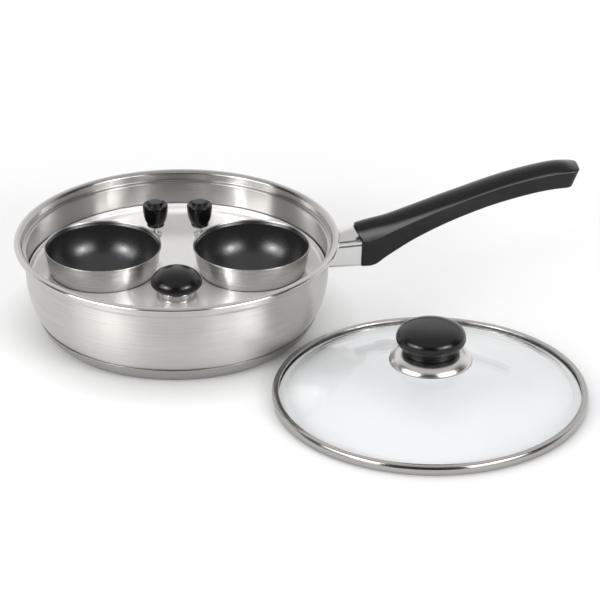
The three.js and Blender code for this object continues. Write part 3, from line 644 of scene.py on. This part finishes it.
def grip_ring(place, rise=1.0, inset=0.0, plan=1.0):
    """One ring of the grip: the crown's rise and the plan fall away at the tip, and an inset rounds the ends."""
    half = (GRIP_HALF - GRIP_TAPER * (place - GRIP_FRONT) / (GRIP_END - GRIP_FRONT)) * plan - inset
    ridge, low = along(EDGE, place) - inset * 0.6, along(UNDER, place) + inset * 0.6
    crown = max((along(CROWN, place) - along(EDGE, place)) * rise, 0.2)
    side = [(half - 0.7, low, 1.8), (half, ridge - 0.3, 0.8)]
    front = max(0, 1 - (place - GRIP_FRONT) / VISOR)
    back = SLANT * max(0, (place - SLANT_START) / (GRIP_END - SLANT_START)) ** 2
    ring = []
    for across, up in crowned(low, side, arc(half, crown, ridge)):
        visor = joint_line(up / MM, ridge, low, ridge + crown) - GRIP_FRONT
        ring.append(((place + visor * front - back * max(0, ridge - up / MM)) * MM, across, up))
    return ring


print("a grip ring has", len(grip_ring(180)), "points")

# %% Grip
MOUTH, TIP, TIP_PLAN, EDGE_ROUND = 0.6, 16, 9, 1.6
LONG_STEPS, TIP_STEPS = 44, 24


def grip_rings():
    """Rings from the mouth of the grip to its tip, which is round in plan and whose end face slants back."""
    rings = [grip_ring(GRIP_FRONT, inset=0.5), grip_ring(GRIP_FRONT + 0.2, inset=0.15), grip_ring(GRIP_FRONT + MOUTH)]
    last = GRIP_END - TIP
    for k in range(1, LONG_STEPS + 1):
        rings.append(grip_ring(GRIP_FRONT + MOUTH + (last - GRIP_FRONT - MOUTH) * k / LONG_STEPS))
    for k in range(1, TIP_STEPS + 1):
        s = math.sin(math.pi / 2 * k / TIP_STEPS)
        rim = max(0, 1 - TIP * (1 - s) / EDGE_ROUND)
        inset = EDGE_ROUND * (1 - math.sqrt(1 - rim ** 2))
        plan = (1 - 0.8 * max(0, 1 - TIP * (1 - s) / TIP_PLAN) ** 3) ** (1 / 3)
        rings.append(grip_ring(last + TIP * s, math.sqrt(1 - s ** 2), inset, plan))
    return rings


grip = lofted("moulded_grip", grip_rings())
dress(grip, "pan", grip_black, ["handle_grip"])

# %% [markdown]
# ## The insert
# The plate that carries the cups is pressed from thin sheet, with a turned-up lip that stiffens it and wedges in
# the pan. The cups hang in two round holes. The plate is turned first, and a boolean then punches the holes, as a
# press would. The knob's collar is turned with a narrow foot, which leaves a shadow line on the plate.

# %% Punching holes
PUNCH_LOW, PUNCH_HIGH = 0.02, 0.05


def punched(piece, punches):
    """The piece with a round hole at each (centre, radius), cut through by an exact boolean."""
    for centre, radius in punches:
        outline = [(0, PUNCH_LOW), (radius, PUNCH_LOW), (radius, PUNCH_HIGH), (0, PUNCH_HIGH)]
        punch = turned("punch", outline, centre, sides=128)
        cutter = piece.modifiers.new("punch", "BOOLEAN")
        cutter.object, cutter.solver = punch, "EXACT"
        cut = bpy.data.meshes.new_from_object(piece.evaluated_get(bpy.context.evaluated_depsgraph_get()))
        piece.modifiers.clear()
        piece.data = cut
        bpy.data.objects.remove(punch)
    piece.data.materials.clear()
    piece.data.set_sharp_from_angle(angle=SHARP)
    print(piece.name, "has", len(punches), "holes")


# %% Insert plate
CUP_HOLE, SCREW_HOLE = 0.0339, 0.0023
cup_axes = {side: axis_of(f"cup_{side}_bowl") for side in ("left", "right")}
knob_axis = axis_of("insert_knob")
plate_section = [
    (0, 33.1), (95.6, 33.1, 3.5), (95.6, 38.2, 0.4), (94.7, 38.2, 0.4), (94.7, 34, 2.6), (0, 34),
]
plate = turned("insert_tray", rounded(plate_section), sides=200)
punched(plate, [(cup_axes["left"], CUP_HOLE), (cup_axes["right"], CUP_HOLE), (knob_axis, SCREW_HOLE)])
dress(plate, "insert", plate_steel, ["insert_plate"])

# %% Lifting knob of the insert
collar_section = [
    (2.3, 38.2), (11, 38.2, 0.8), (11.2, 34.1), (11.8, 34.1), (11.8, 34.8, 0.2), (12.9, 34.8, 0.3),
    (12.5, 36.6, 2), (12.3, 39.1, 0.9), (2.3, 39.1),
]
collar = turned("insert_collar", rounded(collar_section), knob_axis, sides=96)
dress(collar, "insert", collar_steel, ["insert_knob_collar"])
knob_section = [
    (4.6, 39.2), (11.4, 39.2, 0.6), (15.1, 40.4, 1.8), (16.4, 42.4, 1.4),
    *oval(0, 42.4, 16.4, 10.2, 6, 84, 22, 0.96), (0, 52.6), (0, 47.8), (4.6, 47.8),
]
knob = turned("insert_lifting_knob", rounded(knob_section), knob_axis, sides=96)
dress(knob, "insert", knob_black, ["insert_knob"])

# %% [markdown]
# ## The egg cups
# Each cup is a small pressed bowl, steel outside and coated inside, with a narrow turned rim. The coating is a
# layer of its own, so it is made as a thin closed skin that lies on the steel and reaches up into the rim's flare.
# A bent strip is welded to the bowl behind the rim and carries a knob on a stud, which stays clear of the heat. The
# bowls and knobs are turned, and the strip is a ribbon of faces that a modifier makes as thick as sheet.

# %% Cup section
RIM_Z, CUP_DEPTH = 51.3, 34.3
BOWL_TOP, DRAWN_IN, PLATE_DEPTH = 36.5, 3.0, 17.3


def bowl_radius(depth):
    """The outside of the bowl at a depth below its rim: nearly upright down to the plate, then rounding in."""
    return BOWL_TOP - DRAWN_IN * (depth / PLATE_DEPTH) ** 3


def bowl_side(inset, first):
    """Corners down one side of the bowl to its middle, drawn in by an inset, from a depth below the rim."""
    lowest = CUP_DEPTH - 4
    depths = [first + (lowest - first) * k / 16 for k in range(17)]
    side = [(bowl_radius(d) - inset, RIM_Z - d) for d in depths]
    floor = RIM_Z - CUP_DEPTH + inset
    return [*side, (side[-1][0] - 3.6, floor + 0.7, 2), (side[-1][0] - 8, floor, 6), (0, floor)]


steel_section = [
    *reversed(bowl_side(0, 2.6)), (36.6, 50.1, 0.5), (37.7, 49.9, 0.3), (37.7, 51.3, 0.4), (37.2, 51.3, 0.25),
    (35.7, 48.9, 0.5), *bowl_side(0.75, 3.2),
]
coat_section = [
    *reversed(bowl_side(0.76, 3.2)), (35.68, 48.91, 0.5), (36.74, 50.59), (36.6, 50.67), (35.55, 48.99, 0.5),
    *bowl_side(0.92, 3.2),
]
print("cup section:", len(steel_section), "corners")

# %% Cups and their coating
for side, axis in cup_axes.items():
    shell = turned(f"egg_cup_{side}", rounded(steel_section), axis, sides=144)
    dress(shell, f"cup_{side}", cup_steel, [f"cup_{side}_bowl"])
    coat = turned(f"egg_cup_coating_{side}", rounded(coat_section), axis, sides=144)
    dress(coat, f"cup_{side}", non_stick)

# %% Cup knobs
urn_section = [
    (1.9, 53.3), (5.5, 53.3, 0.4), (5.7, 54.3, 0.5), (5.2, 54.9, 0.2), *oval(4.6, 67, 3.55, 12.2, -78, 0, 14),
    (7.9, 68.2, 0.7), (7, 68.5, 0.5), (5.9, 67.5, 0.8), (4.9, 68.3, 0.8), (4.6, 70.1, 0.5), (3.6, 70.3, 0.6),
    (0, 70.3), (0, 63.4), (1.9, 63.4),
]
for side in cup_axes:
    urn = turned(f"cup_knob_{side}", rounded(urn_section), axis_of(f"cup_{side}_knob"), sides=96)
    dress(urn, f"cup_{side}", knob_black, [f"cup_{side}_knob"])

# %% Knob brackets
STRAP_HALF, STRAP_SHEET = 4.5, 1.1


def strap(name, side):
    """A bent strip from the bowl's wall out under the knob, with a round end."""
    cup, knob_at = cup_axes[side], axis_of(f"cup_{side}_knob")
    out = (knob_at - cup).xy.normalized()
    sideways = Vector((-out.y, out.x))
    reach = (knob_at - cup).xy.length / MM
    shape = bmesh.new()

    def row(at, depth, half=STRAP_HALF):
        spots = [cup.xy + out * (at * MM) + sideways * (s * half * MM) for s in (-1, 1)]
        return [shape.verts.new((*spot, (RIM_Z - depth) * MM)) for spot in spots]

    rows = [row(bowl_radius(depth) + 0.35, depth) for depth in (12.9, 9, 6.4)]
    rows += [row(37.4, 5.3), row(38.6, 4.9)]
    for turn in range(0, 80, 10):
        t = math.radians(turn)
        rows.append(row(reach - 0.7 + STRAP_HALF * math.sin(t), 4.8, STRAP_HALF * math.cos(t)))
    for near, far in zip(rows, rows[1:]):
        shape.faces.new((near[0], near[1], far[1], far[0]))
    piece = finished(name, shape)
    thick = piece.modifiers.new("sheet", "SOLIDIFY")
    thick.thickness, thick.offset = STRAP_SHEET * MM, 1
    return piece


for side in cup_axes:
    strip = strap(f"cup_strap_{side}", side)
    dress(strip, f"cup_{side}", screw_steel, [f"cup_{side}_bracket"])

# %% [markdown]
# ## The lid
# The lid is a shallow tempered dome with a flat border, held in a folded steel band. The knob clamps through a
# hole in the middle, over a polished skirt that spreads the load. The skirt bulges, so it mirrors the lamps to its
# left and right and the dark room between them. The glass is modelled with a real thickness, so that it bends what
# lies under it.

# %% Lid glass
lid_axis = axis_of("lid_glass")
APEX, CURVE, GLASS = 28.9, 183.5, 4.1
DOME_STEPS = 24


def dome(inset, first, last):
    """Corners on one face of the dome between two radii, drawn in by an inset."""
    radii = [first + (last - first) * k / DOME_STEPS for k in range(DOME_STEPS + 1)]
    return [(r, APEX - CURVE + math.sqrt((CURVE - inset) ** 2 - r ** 2)) for r in radii]


glass_section = [
    *dome(0, 4.5, 86), (90.2, 5.2, 9), (96.6, 5.2, 0.8), (96.6, 1.1, 0.8), (89.4, 1.1, 7),
    *reversed(dome(GLASS, 4.5, 85)),
]
dome_piece = turned("lid_dome", rounded(glass_section), lid_axis, sides=200)
dress(dome_piece, "lid", lid_glass, ["lid_glass"])

# %% Lid band
band_section = [
    (93.3, 0, 0.3), (97.2, 0, 0.8), (97.8, 2.2, 2), (97.8, 4.4, 1), (97.1, 6.3, 0.9), (93.6, 6.3, 0.5),
    (93.3, 5.5, 0.2), (97, 5.5), (97, 0.8), (93.3, 0.8, 0.3),
]
band = turned("lid_band", rounded(band_section), lid_axis, sides=200)
dress(band, "lid", rim_steel, ["lid_rim"])

# %% Lid knob and skirt
skirt_section = [
    (2.8, 30.1), (16.5, 30.1, 2), (24.6, 26.4, 0.3), (25.6, 26.4, 0.3),
    *oval(17, 25.6, 8.8, 7.4, 8, 86, 24), (2.8, 33),
]
skirt = turned("lid_knob_dish", rounded(skirt_section), lid_axis, sides=128)
dress(skirt, "lid", bright_steel, ["lid_knob_skirt"])
head_section = [
    (5.1, 33.1), (16.6, 33.1, 0.3), (17.3, 33.6, 0.3), (16.9, 33.9, 0.2), (17.8, 34.3, 0.3), (17.8, 34.9, 0.3),
    (17.1, 35.2, 0.2), (17.7, 35.5, 0.3), (17.4, 36.1, 0.4), (19.4, 37.5, 2.5), (21, 39.4, 2.2), (21.6, 41.4, 1.5),
    *oval(0, 41.4, 21.6, 9.2, 6, 84, 22, 0.76), (0, 50.6), (0, 43.3), (5.1, 43.3),
]
head = turned("lid_lifting_knob", rounded(head_section), lid_axis, sides=128)
dress(head, "lid", knob_black, ["lid_knob"])

# %% [markdown]
# ## Pieces that stay as the CAD made them
# Screws, studs, bushes, washers, seals, the core and the bracket are right as they are: small, plain and mostly
# hidden. They keep their shape and only take a finish.

# %% Finishes for the kept nodes
KEPT = {
    aluminium: ["base_core"],
    brass: ["insert_knob_bush", "lid_knob_bush"],
    silicone: ["lid_gasket", "lid_seal"],
    screw_steel: ["handle_bracket", "handle_screw", "insert_washer", "insert_screw", "cup_left_stud",
                  "cup_right_stud", "lid_washer", "lid_screw"],
}
for finish, nodes in KEPT.items():
    for node in nodes:
        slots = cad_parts[node].data.materials
        slots.clear()
        slots.append(finish)
    print(finish.name, "on", len(nodes), "nodes")

# %% [markdown]
# ## Camera
# The photograph was taken with a long lens from a little above. Its place was worked out by fitting ellipses, so it
# is written as numbers: the camera looks down by almost 27 degrees, and along the table it is turned by 7.

# %% Camera
TURN, LOOK_DOWN = math.radians(7), math.radians(26.94)
lens = bpy.data.cameras.new("camera")
lens.lens, lens.sensor_width = 192, 36
camera = bpy.data.objects.new("camera", lens)
camera.location = (-0.1464, -1.8388, 0.9505)
camera.rotation_euler = (math.pi / 2 - LOOK_DOWN, 0, -TURN)
scene.collection.objects.link(camera)
scene.camera = camera
print("camera at", tuple(round(v, 3) for v in camera.location))

# %% [markdown]
# ## Table and studio
# The table is plain and pale. Lamps light it a little below white near the pan, and a glow that only the camera,
# reflections and the glass see lifts it the rest of the way, more so further out. A glow takes no shadow, so it is
# dimmed where something stands close over the table, except inside the lid's band, where glass lets the light in.
# Two broad softboxes, each with a bright core, stand left and right of the camera and give the steel its bars and
# the cups their highlights, and a weak one hangs overhead. Polished steel is only as bright as what it mirrors, so
# the room is dark in front, white low down behind the pan, and dim at its ceiling.

# %% Table
TABLE_SIZE, TABLE_Z = 6, -0.0004
NEAR_PAINT, FAR_PAINT = (0.6, 0.6, 0.6), (0.05, 0.05, 0.05)
NEAR_GLOW, MORE_GLOW = 0.345, 0.635
WHITE = (1, 1, 1)
CLOSE = 0.03  # how near above the table a thing has to be to shade it
BAND_START, BAND_END = 0.0962, 0.097


def table_paint(start):
    """Pale paint that hands over to a glow away from the pan, with soft contact shading."""
    path = start.add("LightPath", {}, {})
    seen = path.math("MAXIMUM", path.out("Is Camera Ray"), path.out("Is Glossy Ray"))
    seen = seen.math("MAXIMUM", seen, path.out("Is Transmission Ray"))
    place = start.add("TexCoord", {}, {}, out="Object")
    away = start.add("VectorMath", {"operation": "LENGTH"}, {0: place}, out="Value")
    far = start.add("MapRange", SOFT, {"Value": away, "From Min": 0.1, "From Max": 0.5})
    lid_middle = (lid_axis.x, lid_axis.y, 0)
    to_lid = start.add("VectorMath", {"operation": "DISTANCE"}, {0: place, 1: lid_middle}, out="Value")
    band = {"From Min": BAND_START, "From Max": BAND_END}
    clear_of_lid = start.add("MapRange", {}, {"Value": to_lid, **band})
    open_above = start.add("AmbientOcclusion", {"samples": 8}, {"Distance": CLOSE}, out="AO")
    unshaded = 1 - (1 - open_above) * clear_of_lid
    glow = seen * unshaded * (NEAR_GLOW + far * MORE_GLOW)
    return start.add("BsdfPrincipled", {}, {
        "Base Color": blend(start, far, NEAR_PAINT, FAR_PAINT), "Roughness": 0.9, "Specular IOR Level": 0,
        "Emission Color": blend(start, glow, BLACK, WHITE), "Emission Strength": 1,
    })


sheet = bmesh.new()
bmesh.ops.create_grid(sheet, x_segments=8, y_segments=8, size=TABLE_SIZE)
table = finished("table", sheet)
table.location.z = TABLE_Z
table.data.materials.append(material("table_paint", table_paint))
table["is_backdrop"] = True
print("table:", [round(v, 1) for v in table.dimensions[:2]], "m")

# %% Softboxes
AIM = Vector((0.06, -0.04, 0.03))
towards = Vector((-math.sin(TURN), -math.cos(TURN), 0))
rightwards = Vector((math.cos(TURN), -math.sin(TURN), 0))


def softbox(name, turn, rise, distance, size, watts, mirrored=True):
    """An area lamp at an angle right of the camera and above the table, aimed at the pan."""
    a, e = math.radians(turn), math.radians(rise)
    way = (towards * math.cos(a) + rightwards * math.sin(a)) * math.cos(e) + Vector((0, 0, math.sin(e)))
    lamp = bpy.data.lights.new(name, "AREA")
    lamp.shape, lamp.size, lamp.size_y, lamp.energy = "RECTANGLE", *size, watts
    box = bpy.data.objects.new(name, lamp)
    box.location = AIM + way * distance
    box.rotation_euler = (-way).to_track_quat("-Z", "Y").to_euler()
    box.visible_camera = False
    box.visible_glossy = mirrored
    scene.collection.objects.link(box)
    print(name, "radiates", round(watts / (math.pi * size[0] * size[1]), 2))


softbox("left_panel", -54, 23, 1.7, (1.4, 0.9), 16.5)
softbox("right_panel", 46, 23, 1.7, (1.24, 0.9), 14.7)
softbox("left_core", -50, 25, 1.5, (0.3, 0.2), 4.2)
softbox("right_core", 50, 25, 1.5, (0.3, 0.2), 4.2)
softbox("overhead_fill", 180, 80, 1.7, (1.4, 1.4), 4, mirrored=False)

# %% World
DARK_ROOM, WHITE_BACK, CEILING = (0.04, 0.04, 0.04), (0.98, 0.98, 0.98), 0.62


def studio(start):
    """The room that the steel mirrors. The camera, straight or through the glass, sees plain white instead."""
    path = start.add("LightPath", {}, {})
    seen = path.math("MAXIMUM", path.out("Is Camera Ray"), path.out("Is Transmission Ray"))
    way = start.add("TexCoord", {}, {}, out="Generated")
    behind = start.add("VectorMath", {"operation": "DOT_PRODUCT"}, {0: way, 1: -towards}, out="Value")
    height = start.add("SeparateXYZ", {}, {"Vector": way}, out="Z")
    wide = start.add("MapRange", SOFT, {"Value": behind, "From Min": 0.05, "From Max": 0.55})
    low = start.add("MapRange", SOFT, {"Value": height, "From Min": 0.9, "From Max": 0.5})
    ceiling = start.add("MapRange", SOFT, {"Value": height, "From Min": 0.6, "From Max": 0.8})
    room = blend(start, wide * low + ceiling * CEILING, DARK_ROOM, WHITE_BACK)
    return start.add("Background", {}, {"Color": blend(start, seen, room, WHITE)})


world = bpy.data.worlds.new("studio")
world.use_nodes = True
world.node_tree.nodes.clear()
start = Wire(world.node_tree)
start.add("OutputWorld", {}, {"Surface": studio(start)})
scene.world = world
scene.view_settings.view_transform = "Standard"
print("world:", len(world.node_tree.nodes), "nodes")

# %% [markdown]
# ## The size before and after
# Looks must not change the object's size, so the boxes before and after are written down side by side.

# %% Sizes before and after
visual_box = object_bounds()
for name, (low, high) in (("CAD", cad_box), ("visual", visual_box)):
    print(name, [round(v / MM, 1) for v in high - low], "mm")
